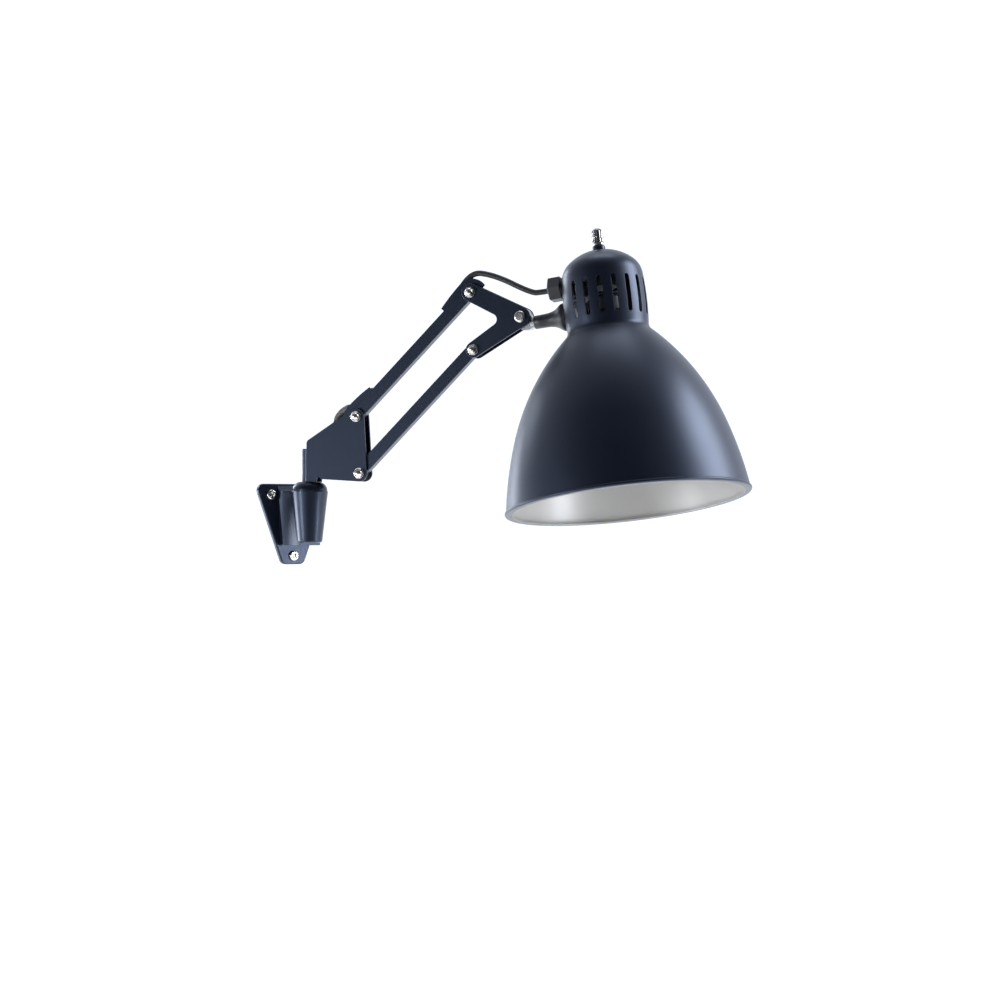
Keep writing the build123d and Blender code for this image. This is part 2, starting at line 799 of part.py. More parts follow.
with BuildPart() as swivel_tongue:
    with BuildSketch(side_plane) as tongue_outline:
        with Locations(pivot_e):
            Circle(tongue_lobe)
        for reach in (2.0, neck_start - neck_start_radius):
            with Locations(polar(neck_origin, reach, shade_tilt)):
                Circle(neck_start_radius)
        make_hull()
    extrude(amount=tongue_half, both=True)
    with BuildSketch(neck_axis_plane.offset(spacer_radius + 1)) as tongue_shank:
        Circle(neck_start_radius - 0.3)
    extrude(amount=neck_start - spacer_radius - 1)
    with BuildSketch(neck_axis_plane.offset(neck_start)):
        Circle(stud_radius)
    extrude(amount=neck_flange_reach + stud_inside - neck_start)
    with BuildSketch(side_plane) as tongue_hole:
        with Locations(pivot_e):
            Circle(bolt_radius + bolt_clearance)
    extrude(amount=2 * tongue_half, both=True, mode=Mode.SUBTRACT)
swivel_tongue.part.label = "swivel_tongue"
export_step(swivel_tongue.part, "parts/swivel_tongue.step")

with BuildPart() as tongue_washers:
    for start, end in ((tongue_half + side_play, fork_inner_half), (-fork_inner_half, -tongue_half - side_play)):
        with BuildSketch(side(pivot_e, offset=start)):
            Circle(spacer_radius)
            Circle(bolt_radius + bolt_clearance, mode=Mode.SUBTRACT)
        extrude(amount=end - start)
tongue_washers.part.label = "tongue_washers"
export_step(tongue_washers.part, "parts/tongue_washers.step")

with BuildPart() as neck_trumpet:
    with BuildSketch(neck_plane) as trumpet_half:
        with BuildLine():
            Line((neck_start, stud_radius + running_fit), (neck_start, neck_start_radius))
            flare = Spline(
                (neck_start, neck_start_radius),
                (neck_start + neck_flare_reach, neck_start_radius + neck_flare_rise),
                (neck_flange_reach - neck_flange_thickness, neck_flange_radius - 0.4),
                tangents=((1, 0.02), (1, 1.6)),
            )
            Line(flare @ 1, (neck_flange_reach - neck_flange_thickness, neck_flange_radius))
            Line(
                (neck_flange_reach - neck_flange_thickness, neck_flange_radius),
                (neck_flange_reach, neck_flange_radius),
            )
            Line((neck_flange_reach, neck_flange_radius), (neck_flange_reach, stud_radius + running_fit))
            Line((neck_flange_reach, stud_radius + running_fit), (neck_start, stud_radius + running_fit))
        make_face()
    revolve(axis=Axis(neck_plane.origin, neck_plane.x_dir))
neck_trumpet.part.label = "neck_trumpet"
export_step(neck_trumpet.part, "parts/neck_trumpet.step")

# ---- shade ----

section_plane = Plane(shade_plane.origin, x_dir=shade_plane.x_dir, z_dir=shade_plane.y_dir * -1)
shade_turning = Axis(shade_plane.origin, shade_plane.z_dir)
bell_slope = -tan(radians(rim_angle))
slot_middle = waist_height + slot_rise + slot_length / 2


def bell_section(inset, foot):
    """Half the shade's outline, moved in by the sheet, closed down to a foot height."""
    start = (rim_radius - inset * cos(radians(rim_angle)), rim_height - inset * sin(radians(rim_angle)))
    with BuildSketch(section_plane) as half:
        with BuildLine():
            # two tangent arcs of the bell, a soft waist, a barrelled cap and a domed top
            lower = JernArc(start, (bell_slope, 1), bell_outer_arc - inset, bell_outer_turn)
            upper = JernArc(lower @ 1, lower % 1, bell_upper_arc - inset, bell_upper_turn)
            waist = JernArc(upper @ 1, upper % 1, waist_fillet + inset, -waist_lean - waist_flare)
            barrel = ThreePointArc(
                waist @ 1,
                (cap_radius - inset, waist_height + cap_mid_rise),
                (cap_radius - cap_shoulder_inset - inset, cap_top_height - cap_shoulder_drop - 0.1 * inset),
            )
            shoulder = JernArc(barrel @ 1, barrel % 1, shoulder_arc - inset, shoulder_turn)
            TangentArc((0, cap_top_height - inset), shoulder @ 1, tangent=(1, 0))
            Polyline((0, cap_top_height - inset), (0, foot), (start[0], foot), start)
        make_face()
    return half.sketch


with BuildPart() as shade:
    revolve(bell_section(0, rim_lip_height + sheet), axis=shade_turning)
    revolve(bell_section(sheet, -1), axis=shade_turning, mode=Mode.SUBTRACT)
    # rolled bead at the rim with a flat lip turned inward
    with BuildSketch(section_plane):
        with Locations((rim_radius - 0.4, rim_lip_height + rim_bead)):
            Circle(rim_bead)
        with Locations(((rim_radius + rim_lip_radius) / 2, rim_lip_height + sheet / 2)):
            Rectangle(rim_radius - rim_lip_radius, sheet)
        with Locations((rim_radius - sheet / 2, rim_height)):
            Rectangle(sheet, 2)
    revolve(axis=shade_turning)
    for slot in range(slot_count):
        turn = (slot - slot_count // 2) * slot_pitch
        outward = Vector(cos(radians(turn)), sin(radians(turn)), 0)
        slot_plane = Plane(
            origin=shade_plane.from_local_coords((0, 0, slot_middle)),
            x_dir=shade_plane.z_dir,
            z_dir=shade_plane.from_local_coords(tuple(outward)) - shade_plane.origin,
        )
        with BuildSketch(slot_plane):
            SlotOverall(slot_length, slot_width)
        extrude(amount=cap_radius + 5, mode=Mode.SUBTRACT)
    with BuildSketch(out_of_cap(neck_height, cap_radius - 8)):
        Circle(stud_radius + 0.1)
    extrude(amount=16, mode=Mode.SUBTRACT)
    with BuildSketch(out_of_cap(gland_height, cap_radius - 8)):
        Circle(gland_thread + 0.1)
    extrude(amount=16, mode=Mode.SUBTRACT)
    with BuildSketch(up_shade(cap_top_height - 6)):
        Circle(collar_bore + 0.1)
    extrude(amount=12, mode=Mode.SUBTRACT)
shade.part.label = "shade"
export_step(shade.part, "parts/shade.step")

with BuildPart() as neck_gasket:
    with BuildSketch(neck_axis_plane.offset(neck_flange_reach)):
        Circle(neck_flange_radius - 0.1)
        Circle(stud_radius + 0.3, mode=Mode.SUBTRACT)
    extrude(amount=5)
    with BuildSketch(up_shade(neck_height - 2 * neck_flange_radius)):
        Circle(cap_radius + gasket_fit)
    extrude(amount=4 * neck_flange_radius, mode=Mode.SUBTRACT)
neck_gasket.part.label = "neck_gasket"
export_step(neck_gasket.part, "parts/neck_gasket.step")

with BuildPart() as neck_nut:
    with BuildSketch(out_of_cap(neck_height, bracket_seat - bracket_sheet)):
        RegularPolygon(neck_nut_flats / 2, 6, major_radius=False)
        Circle(stud_radius, mode=Mode.SUBTRACT)
    extrude(amount=-neck_nut_height)
neck_nut.part.label = "neck_nut"
export_step(neck_nut.part, "parts/neck_nut.step")

# ---- cable gland ----

with BuildPart() as cable_gland:
    with BuildSketch(out_of_cap(gland_height, gland_face)):
        RegularPolygon(gland_flats / 2, 6, major_radius=False)
    extrude(amount=gland_length)
    chamfer(faces().sort_by(Axis((0, 0, 0), shade_plane.x_dir))[0].edges(), 1.0)
    with BuildSketch(out_of_cap(gland_height, gland_face)):
        Circle(gland_thread)
    extrude(amount=-gland_stand_off - gland_thread_inside)
    with BuildSketch(out_of_cap(gland_height, cap_radius - gland_thread_inside - 1)):
        Circle(lead_radius + running_fit)
    extrude(amount=gland_length + gland_face, mode=Mode.SUBTRACT)
    with BuildSketch(out_of_cap(gland_height, gland_face + gland_length)):
        Circle(gland_mouth)
    extrude(amount=-2.4, taper=20, mode=Mode.SUBTRACT)
cable_gland.part.label = "cable_gland"
export_step(cable_gland.part, "parts/cable_gland.step")

with BuildPart() as gland_washer:
    with BuildSketch(out_of_cap(gland_height, gland_face - 4)):
        Circle(gland_washer_radius)
        Circle(gland_thread + 0.1, mode=Mode.SUBTRACT)
    extrude(amount=4)
    with BuildSketch(up_shade(gland_height - 2 * gland_washer_radius)):
        Circle(cap_radius)
    extrude(amount=4 * gland_washer_radius, mode=Mode.SUBTRACT)
gland_washer.part.label = "gland_washer"
export_step(gland_washer.part, "parts/gland_washer.step")

with BuildPart() as gland_nut:
    with BuildSketch(out_of_cap(gland_height, cap_radius - gland_nut_inset)):
        RegularPolygon(gland_flats / 2 - 0.5, 6, major_radius=False)
        Circle(gland_thread, mode=Mode.SUBTRACT)
    extrude(amount=-gland_nut_height)
gland_nut.part.label = "gland_nut"
export_step(gland_nut.part, "parts/gland_nut.step")

# ---- lampholder ----

# an angle of sheet, clamped by the neck nut, that carries the lampholder on the shade's axis
with BuildPart() as holder_bracket:
    with BuildSketch(section_plane):
        with BuildLine():
            Polyline(
                (-bracket_seat, neck_height - bracket_foot_drop),
                (-bracket_seat, holder_top + bracket_sheet),
                (holder_sleeve_radius, holder_top + bracket_sheet),
                (holder_sleeve_radius, holder_top),
                (-bracket_seat + bracket_sheet, holder_top),
                (-bracket_seat + bracket_sheet, neck_height - bracket_foot_drop),
                close=True,
            )
        make_face()
    extrude(amount=bracket_width / 2, both=True)
    with BuildSketch(out_of_cap(neck_height, bracket_seat - 3)):
        Circle(stud_radius + 0.1)
    extrude(amount=6, mode=Mode.SUBTRACT)
holder_bracket.part.label = "holder_bracket"
export_step(holder_bracket.part, "parts/holder_bracket.step")

with BuildPart() as lampholder:
    with BuildSketch(section_plane):
        with BuildLine():
            Polyline(
                (0, holder_top),
                (holder_radius - 5, holder_top),
                (holder_radius - 2, holder_top - 3),
                (holder_radius - 2, holder_top - 14),
                (holder_radius, holder_top - 16),
                (holder_radius, holder_bottom),
                (holder_sleeve_radius, holder_bottom),
                (holder_sleeve_radius, holder_bottom + holder_bore_depth),
                (0, holder_bottom + holder_bore_depth),
                close=True,
            )
        make_face()
    revolve(axis=shade_turning)
lampholder.part.label = "lampholder"
export_step(lampholder.part, "parts/lampholder.step")

with BuildPart() as lampholder_sleeve:
    with BuildSketch(up_shade(holder_bottom + sleeve_lip)):
        Circle(holder_sleeve_radius)
        Circle(holder_bore_radius, mode=Mode.SUBTRACT)
    extrude(amount=holder_bore_depth - sleeve_lip - contact_space)
lampholder_sleeve.part.label = "lampholder_sleeve"
export_step(lampholder_sleeve.part, "parts/lampholder_sleeve.step")

with BuildPart() as lampholder_contact:
    contact_top = holder_bottom + holder_bore_depth
    with BuildSketch(section_plane):
        with BuildLine():
            Polyline(
                (-holder_bore_radius + 3, contact_top),
                (-holder_bore_radius + 3, contact_top - 0.6),
                (-4, contact_top - 0.6),
                (3, contact_top - 5),
                (3.6, contact_top - 4.4),
                (-3.8, contact_top),
                close=True,
            )
        make_face()
    extrude(amount=contact_width / 2, both=True)
lampholder_contact.part.label = "lampholder_contact"
export_step(lampholder_contact.part, "parts/lampholder_contact.step")

# ---- switch ----

collar_top = cap_top_height + collar_height
with BuildPart() as switch_body:
    with BuildSketch(up_shade(switch_bottom)):
        Circle(switch_radius)
    extrude(amount=switch_shoulder - switch_bottom)
    with BuildSketch(up_shade(switch_shoulder)):
        Circle(switch_shoulder_radius)
    extrude(amount=cap_top_height - sheet - switch_clearance - switch_shoulder)
    with BuildSketch(up_shade(cap_top_height - sheet - switch_clearance)):
        Circle(collar_bore)
    extrude(amount=collar_height + sheet + switch_clearance)
    with BuildSketch(up_shade(collar_top)):
        Circle(stem_radius + running_fit)
    extrude(amount=-14, mode=Mode.SUBTRACT)
switch_body.part.label = "switch_body"
export_step(switch_body.part, "parts/switch_body.step")

with BuildPart() as switch_collar:
    with BuildSketch(up_shade(cap_top_height)):
        Circle(collar_radius)
    extrude(amount=collar_height)
    fillet(edges().sort_by(Axis((0, 0, 0), shade_plane.z_dir))[-1], 1.6)
    with BuildSketch(up_shade(cap_top_height)):
        Circle(collar_bore)
    extrude(amount=collar_height, mode=Mode.SUBTRACT)
switch_collar.part.label = "switch_collar"
export_step(switch_collar.part, "parts/switch_collar.step")

with BuildPart() as switch_knob:
    knob_foot = collar_top + knob_gap
    with BuildSketch(up_shade(knob_foot)):
        Circle(knob_radius - 0.5)
    extrude(amount=knob_length)
    fillet(edges().sort_by(Axis((0, 0, 0), shade_plane.z_dir))[-1], knob_radius - 1.2)
    with BuildSketch(up_shade(knob_foot + 0.6)) as knurl:
        Circle(knob_radius)
        with PolarLocations(knob_radius, knob_grooves):
            Circle(knob_groove, mode=Mode.SUBTRACT)
    extrude(amount=knob_length * 0.55)
    with BuildSketch(up_shade(collar_top + 0.2)):
        Circle(stem_ring_radius)
    extrude(amount=knob_gap - 0.2)
    with BuildSketch(up_shade(collar_top + 0.2)):
        Circle(stem_radius)
    extrude(amount=-12)
switch_knob.part.label = "switch_knob"
export_step(switch_knob.part, "parts/switch_knob.step")

# ---- lead, from the terminal block to the switch ----


def on_arm(reach, height):
    """A point of the arm plane in the upper arm's own coordinates: along it, and above it."""
    return polar(polar(pivot_a, reach, arm_angle), height, arm_angle + 90)


def in_arm_plane(points):
    """Part coordinates of (reach, height) or (reach, height, offset) points of the arm plane."""
    return [side_plane.from_local_coords((*point, 0)[:3]) for point in points]


def middle(first, second):
    """The point half way between two points."""
    return (first + second) * 0.5


def tube(name, points, radii, radius=lead_radius, bore=0.0):
    """A round tube along straight runs joined by tangent arcs; prints its radii and its volume."""
    with BuildPart() as result:
        with BuildLine() as route:
            if radii:
                FilletPolyline(*points, radius=radii)
            else:
                Line(*points)
        path = route.wires()[0]
        with BuildSketch(Plane(origin=path @ 0, z_dir=path % 0)):
            Circle(radius)
            if bore:
                Circle(bore, mode=Mode.SUBTRACT)
        sweep(path=path)
    section = pi * (radius**2 - bore**2)
    share = result.part.volume / (section * path.length)
    print(name, "radii", [round(value, 1) for value in radii], "volume over section x length", round(share, 4))
    result.part.label = name
    export_step(result.part, f"parts/{name}.step")
    return result


wall_route = [
    Vector(0, -cavity_depth, passage_height),
    Vector(0, -post_reach, passage_height),
    Vector(0, -post_reach, post_foot + 4),
]
lead_wall = tube("lead_wall", wall_route, corner_radii(wall_route))

fork_route = in_arm_plane([
    (0, post_top - 4),
    (0, post_top + lead_rise),
    (pivot_a[0] - 21.5, pivot_a[1] - 18.7),
    (pivot_a[0] - 22.3, pivot_a[1] + 4.9),
    on_arm(22, lead_in_arm_height),
    on_arm(lead_arm_start, lead_in_arm_height),
])
fork_radii = corner_radii(fork_route)
lead_riser = tube("lead_riser", [wall_route[-1], fork_route[0]], [])
lead_at_fork = tube("lead_at_fork", fork_route, fork_radii)

sleeve_start = middle(fork_route[2], fork_route[3])
sleeve_run = (fork_route[4] - fork_route[3]).normalized()
sleeve_route = [sleeve_start, fork_route[3], fork_route[3] + sleeve_run * sleeve_reach]
lead_sleeve = tube("lead_sleeve", sleeve_route, fork_radii[2:3], sleeve_radius, sleeve_bore)

gland_mouth_point = shade_plane.from_local_coords((-gland_face - gland_length, 0, gland_height))
gland_entry_point = shade_plane.from_local_coords((-gland_face - gland_length - gland_entry, 0, gland_height))
switch_point = shade_plane.from_local_coords((-switch_radius, 0, gland_height))
loop_route = in_arm_plane([
    on_arm(arm_length - loop_start, lead_in_arm_height),
    on_arm(arm_length - loop_rise, lead_in_arm_height),
    (pivot_c[0] - 4.3, pivot_c[1] + 19.3),
    (pivot_c[0] + 21.1, pivot_c[1] + 15.7, -0.7),
    (pivot_e[0] + 7.7, pivot_e[1] + 21.9, -2.1),
]) + [gland_entry_point, gland_mouth_point]
loop_radii = corner_radii(loop_route)
first_cut = middle(loop_route[2], loop_route[3])
second_cut = middle(loop_route[3], loop_route[4])
lead_in_arm = tube("lead_in_arm", [fork_route[-1], loop_route[0]], [])
lead_loop_rear = tube("lead_loop_rear", loop_route[:3] + [first_cut], loop_radii[:2])
lead_loop_middle = tube("lead_loop_middle", [first_cut, loop_route[3], second_cut], loop_radii[2:3])
lead_loop_front = tube("lead_loop_front", [second_cut] + loop_route[4:], loop_radii[3:])
lead_tail = tube("lead_tail", [gland_mouth_point, switch_point], [])
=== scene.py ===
import json
import math

import bmesh
import bpy
from mathutils import Matrix, Vector


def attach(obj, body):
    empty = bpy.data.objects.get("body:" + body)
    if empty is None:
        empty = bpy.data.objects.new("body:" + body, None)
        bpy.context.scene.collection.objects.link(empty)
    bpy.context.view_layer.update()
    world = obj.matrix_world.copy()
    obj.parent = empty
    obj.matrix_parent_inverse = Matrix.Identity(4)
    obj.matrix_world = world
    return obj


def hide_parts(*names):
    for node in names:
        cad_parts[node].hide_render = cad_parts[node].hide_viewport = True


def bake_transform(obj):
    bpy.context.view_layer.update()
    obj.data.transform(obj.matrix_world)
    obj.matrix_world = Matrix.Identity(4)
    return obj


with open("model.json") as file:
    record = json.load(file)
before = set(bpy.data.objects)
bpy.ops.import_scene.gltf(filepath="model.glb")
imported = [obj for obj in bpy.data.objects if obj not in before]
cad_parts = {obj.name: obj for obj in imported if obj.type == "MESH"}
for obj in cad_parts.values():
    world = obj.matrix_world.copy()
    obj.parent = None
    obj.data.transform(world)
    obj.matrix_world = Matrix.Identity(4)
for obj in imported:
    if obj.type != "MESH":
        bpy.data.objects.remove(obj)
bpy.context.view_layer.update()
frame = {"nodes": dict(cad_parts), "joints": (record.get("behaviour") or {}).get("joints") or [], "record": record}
nodes = frame["nodes"]
scene = bpy.context.scene
print("frame loaded:", len(nodes), "nodes")

# places that the pieces share

hinges = {joint["name"]: joint for joint in frame["joints"]}


def axisOf(jointName):
    return Vector(hinges[jointName]["axis"]).normalized()


def pointOf(jointName):
    return Vector(hinges[jointName]["pos_m"])


near = axisOf("arm_lift")                       # points to the near side of the arm plane
reach = Vector((-near.y, near.x, 0.0))          # points out from the post
up = Vector((0.0, 0.0, 1.0))
post = Vector((0.0, pointOf("fork_swivel").y, 0.0))
neckAxis = axisOf("shade_roll")
shadeAxis = axisOf("switch_turn")
shadeSide = neckAxis.cross(shadeAxis)
knobPoint = pointOf("switch_turn")
knobHeight = 240.0                              # of that joint above the rim, in millimetres
armRise = math.radians(45.2)                    # of both arms, in the photo's pose


def inArmPlane(u, z, n=0.0):
    # millimetres out from the post, up from the origin, and toward the near side
    return post + reach * (u / 1000) + up * (z / 1000) + near * (n / 1000)


def onArm(along, above):
    # millimetres along the upper arm from its lower pivot, and above that line
    alongArm = reach * math.cos(armRise) + up * math.sin(armRise)
    aboveArm = up * math.cos(armRise) - reach * math.sin(armRise)
    return pointOf("arm_lift") + alongArm * (along / 1000) + aboveArm * (above / 1000)


def inShade(height, outward=0.0, sideways=0.0):
    # millimetres above the rim along the shade's axis, away from the neck, and to the near side
    return (knobPoint + shadeAxis * ((height - knobHeight) / 1000)
            + neckAxis * (outward / 1000) + shadeSide * (sideways / 1000))


def fromPivot(pivot, u, z, n=0.0):
    # millimetres from a pivot: out, up and toward the near side
    return pivot + reach * (u / 1000) + up * (z / 1000) + near * (n / 1000)


# meshes and objects

softTo = {"spun": 40, "turned": 35}             # degrees between faces, up to which an edge is smooth


def newPiece(name, mesh):
    piece = bpy.data.objects.new(name, mesh)
    scene.collection.objects.link(piece)
    return piece


def newMesh(name, bm):
    mesh = bpy.data.meshes.new(name)
    bm.to_mesh(mesh)
    bm.free()
    return mesh


def plainMesh(piece):
    # the piece's shape with its curve or modifiers worked out
    bpy.context.view_layer.update()
    return bpy.data.meshes.new_from_object(piece.evaluated_get(bpy.context.evaluated_depsgraph_get()))


def smoothUpTo(mesh, angle):
    for polygon in mesh.polygons:
        polygon.use_smooth = True
    mesh.set_sharp_from_angle(angle=math.radians(angle))


def spinRound(bm, line, edges, centre, axis, steps):
    # turns an outline once round an axis and closes it
    bmesh.ops.spin(bm, geom=line + edges, cent=centre, axis=axis, dvec=(0, 0, 0), angle=math.tau,
                   steps=steps, use_merge=True, use_normal_flip=False, use_duplicate=False)
    bmesh.ops.remove_doubles(bm, verts=bm.verts, dist=1e-6)


# shader maths


class Val:
    # a socket with Python's operators: each one adds a Math node
    def __init__(self, graph, socket):
        self.graph = graph
        self.socket = socket

    def math(self, operation, other, swap=False):
        values = [other, self] if swap else [self, other]
        return self.graph.add("ShaderNodeMath", {"operation": operation}, values)

    def __add__(self, other): return self.math("ADD", other)
    def __radd__(self, other): return self.math("ADD", other, swap=True)
    def __sub__(self, other): return self.math("SUBTRACT", other)
    def __rsub__(self, other): return self.math("SUBTRACT", other, swap=True)
    def __mul__(self, other): return self.math("MULTIPLY", other)
    def __rmul__(self, other): return self.math("MULTIPLY", other, swap=True)


class Graph:
    # a node tree: add() takes a node's type, its settings and its inputs
    def __init__(self, tree):
        self.tree = tree

    def add(self, kind, settings=None, inputs=None, output=0):
        node = self.tree.nodes.new(kind)
        for key, value in (settings or {}).items():
            if key == "stops":
                self.setRamp(node.color_ramp, value)
            else:
                setattr(node, key, value)
        pairs = enumerate(inputs) if isinstance(inputs, (list, tuple)) else (inputs or {}).items()
        for key, value in pairs:
            self.feed(node.inputs[key], value)
        return Val(self, node.outputs[output])

    def feed(self, socket, value):
        if isinstance(value, Val):
            self.tree.links.new(value.socket, socket)
        else:
            socket.default_value = value

    def setRamp(self, ramp, stops):
        while len(ramp.elements) > 1:
            ramp.elements.remove(ramp.elements[-1])
        ramp.elements[0].position, ramp.elements[0].color = stops[0]
        for position, color in stops[1:]:
            ramp.elements.new(position).color = color


class Finish(Graph):
    # a material with one shader, and patterns that read Object coordinates
    def __init__(self, name):
        self.material = bpy.data.materials.new(name)
        self.material.use_nodes = True
        super().__init__(self.material.node_tree)
        self.tree.nodes.clear()
        self.shader = self.tree.nodes.new("ShaderNodeBsdfPrincipled")
        output = self.tree.nodes.new("ShaderNodeOutputMaterial")
        self.tree.links.new(self.shader.outputs[0], output.inputs[0])
        self.place = self.add("ShaderNodeTexCoord", output="Object")

    def set(self, **values):
        for name, value in values.items():
            self.feed(self.shader.inputs[name.replace("_", " ")], value)

    def noise(self, scale, detail=3.0, roughness=0.5):
        return self.add("ShaderNodeTexNoise", {}, {
            "Vector": self.place, "Scale": scale, "Detail": detail, "Roughness": roughness})

    def mix(self, factor, first, second):
        return self.add("ShaderNodeMix", {"data_type": "RGBA"}, {0: factor, 6: first, 7: second}, output=2)

    def bump(self, height, strength, distance, under=None):
        inputs = {"Height": height, "Strength": strength, "Distance": distance}
        if under is not None:
            inputs["Normal"] = under
        return self.add("ShaderNodeBump", {}, inputs)

    def softEdges(self, radius):
        return self.add("ShaderNodeBevel", {"samples": 6}, {"Radius": radius})


def rgb(hexText):
    # a screen colour as the linear values that shaders use
    parts = [int(hexText[i:i + 2], 16) / 255 for i in (0, 2, 4)]
    linear = [p / 12.92 if p <= 0.04045 else ((p + 0.055) / 1.055) ** 2.4 for p in parts]
    return (*linear, 1.0)


# materials

navy = {"body": "0a0e1a", "worn": "101623", "roughness": 0.33, "grain": 900.0, "edge": 0.0005,
        "sheen": (0.64, 0.76, 1.0, 1.0)}


def navyPaint(name, roughness=navy["roughness"]):
    g = Finish(name)
    cloud = g.noise(28.0, 4.0)
    grain = g.noise(navy["grain"], 2.0)
    colour = g.mix(cloud * 0.7, rgb(navy["body"]), rgb(navy["worn"]))
    g.set(Base_Color=colour, Roughness=roughness + (grain - 0.5) * 0.06 + (cloud - 0.5) * 0.05)
    g.set(Normal=g.bump(grain, 0.06, 0.0002, g.softEdges(navy["edge"])))
    g.set(Specular_Tint=navy["sheen"], Specular_IOR_Level=0.6)
    return g.material


reflector = {"paint": "b5b3ae", "worn": "c5c3be", "roughness": 0.42, "top": 158.0, "facing": -0.35}


def reflectorPaint(name):
    g = Finish(name)
    cloud = g.noise(14.0, 3.0)
    grain = g.noise(700.0, 2.0)
    g.set(Base_Color=g.mix(cloud, rgb(reflector["paint"]), rgb(reflector["worn"])), Metallic=0.35)
    g.set(Roughness=reflector["roughness"] + (grain - 0.5) * 0.08)
    g.set(Normal=g.bump(grain, 0.05, 0.0002))
    return g.material


def brightMetal(name, colour, roughness, scratch=0.06):
    g = Finish(name)
    fine = g.noise(1500.0, 2.0)
    smear = g.noise(180.0, 3.0)
    g.set(Base_Color=g.mix(smear * 0.5, rgb(colour), rgb("f4f1ea")), Metallic=1.0)
    g.set(Roughness=roughness + (smear - 0.5) * 0.16)
    g.set(Normal=g.bump(fine, scratch, 0.0002, g.softEdges(0.0003)))
    return g.material


def castMetal(name):
    g = Finish(name)
    grain = g.noise(1400.0, 4.0, 0.7)
    g.set(Base_Color=g.mix(grain, rgb("8f8f8f"), rgb("d8d8d6")), Metallic=0.9)
    g.set(Roughness=0.38 + (grain - 0.5) * 0.25)
    g.set(Normal=g.bump(grain, 0.5, 0.0003, g.softEdges(0.0004)))
    return g.material


def mouldedPlastic(name, colour="1b1b1c", roughness=0.42):
    g = Finish(name)
    grain = g.noise(1100.0, 3.0)
    smear = g.noise(60.0, 3.0)
    g.set(Base_Color=g.mix(smear, rgb(colour), rgb("2a2a2b")))
    g.set(Roughness=roughness + (smear - 0.5) * 0.12)
    g.set(Normal=g.bump(grain, 0.2, 0.0002, g.softEdges(0.0004)))
    return g.material


def cableRubber(name):
    g = Finish(name)
    grain = g.noise(900.0, 3.0)
    smear = g.noise(45.0, 3.0)
    g.set(Base_Color=g.mix(smear, rgb("2b2928"), rgb("3c3835")))
    g.set(Roughness=0.46 + (smear - 0.5) * 0.14)
    g.set(Normal=g.bump(grain, 0.15, 0.0002))
    return g.material


def sleeveGloss(name):
    g = Finish(name)
    ripple = g.noise(160.0, 3.0)
    g.set(Base_Color=g.mix(ripple, rgb("4a4743"), rgb("8c8780")))
    g.set(Roughness=0.22 + ripple * 0.12, Coat_Weight=0.4)
    g.set(Normal=g.bump(ripple, 0.12, 0.0004))
    return g.material


materials = {
    "navy_paint": navyPaint("navyPaint"),
    "navy_shade": navyPaint("shadePaint", 0.38),
    "nickel": brightMetal("brightNickel", "cfcbc2", 0.22, 0.01),
    "steel": brightMetal("zincedSteel", "a9abae", 0.38),
    "zinc": castMetal("castZinc"),
    "brass": brightMetal("socketBrass", "c9a561", 0.34),
    "black_plastic": mouldedPlastic("blackPlastic"),
    "black_rubber": mouldedPlastic("gasketRubber", "111111", 0.62),
    "sleeve_grey": sleeveGloss("sleeveGloss"),
    "cable": cableRubber("cableRubber"),
}
reflectorFinish = reflectorPaint("reflectorPaint")
slotOf = {part["node"]: part["material_slot"] for part in frame["record"]["subparts"]}


def finishWith(piece, material):
    piece.data.materials.clear()
    piece.data.materials.append(material)


for nodeName, node in nodes.items():
    finishWith(node, materials[slotOf[nodeName]])
print("materials made:", len(materials))

# camera

camera = {"azimuth": -35.0, "pitch": -0.3, "place": (-1.12825, -1.95197, 0.01177), "film": 36.0,
          "focal": 2400.0, "frame": 1000.0}         # focal length and frame width in pixels


def makeCamera():
    data = bpy.data.cameras.new("camera")
    data.sensor_width = camera["film"]
    data.lens = camera["focal"] * camera["film"] / camera["frame"]
    obj = newPiece("camera", data)
    a, e = math.radians(camera["azimuth"]), math.radians(camera["pitch"])
    back = Vector((math.sin(a) * math.cos(e), -math.cos(a) * math.cos(e), math.sin(e)))
    obj.location = camera["place"]
    obj.rotation_mode = "QUATERNION"
    obj.rotation_quaternion = (-back).to_track_quat("-Z", "Y")
    scene.camera = obj


makeCamera()

# lead: cords on the same points as the solids, in metres

lead = {"radius": 0.0026, "sleeve": 0.0033, "steps": 14, "inChannel": 0.9, "cuts": (0.44, 0.70),
        "sleeveFrom": 93, "sleeveTo": 41, "sleeveClear": 11.5}    # height, reach and distance from the pivot
pivotA, pivotC, pivotE = pointOf("arm_lift"), pointOf("head_level"), pointOf("head_tilt")
armLength = (pivotC - pivotA).length * 1000
glandHeight, glandEnd = 202.51383, -49.4626     # of the gland's open end, in the shade's own millimetres


forkRoute = [
    inArmPlane(0, 50),
    inArmPlane(0, 70),
    fromPivot(pivotA, -21.5, -18.7),
    fromPivot(pivotA, -22.3, 4.9),
    onArm(22, lead["inChannel"]),
    onArm(36, lead["inChannel"]),
]
loopRoute = [
    onArm(armLength - 44, lead["inChannel"]),
    onArm(armLength - 32, lead["inChannel"]),
    fromPivot(pivotC, -4.3, 19.3),
    fromPivot(pivotC, 21.1, 15.7, -0.7),
    fromPivot(pivotE, 7.7, 21.9, -2.1),
    inShade(glandHeight, glandEnd - 8),
    inShade(glandHeight, glandEnd),
]


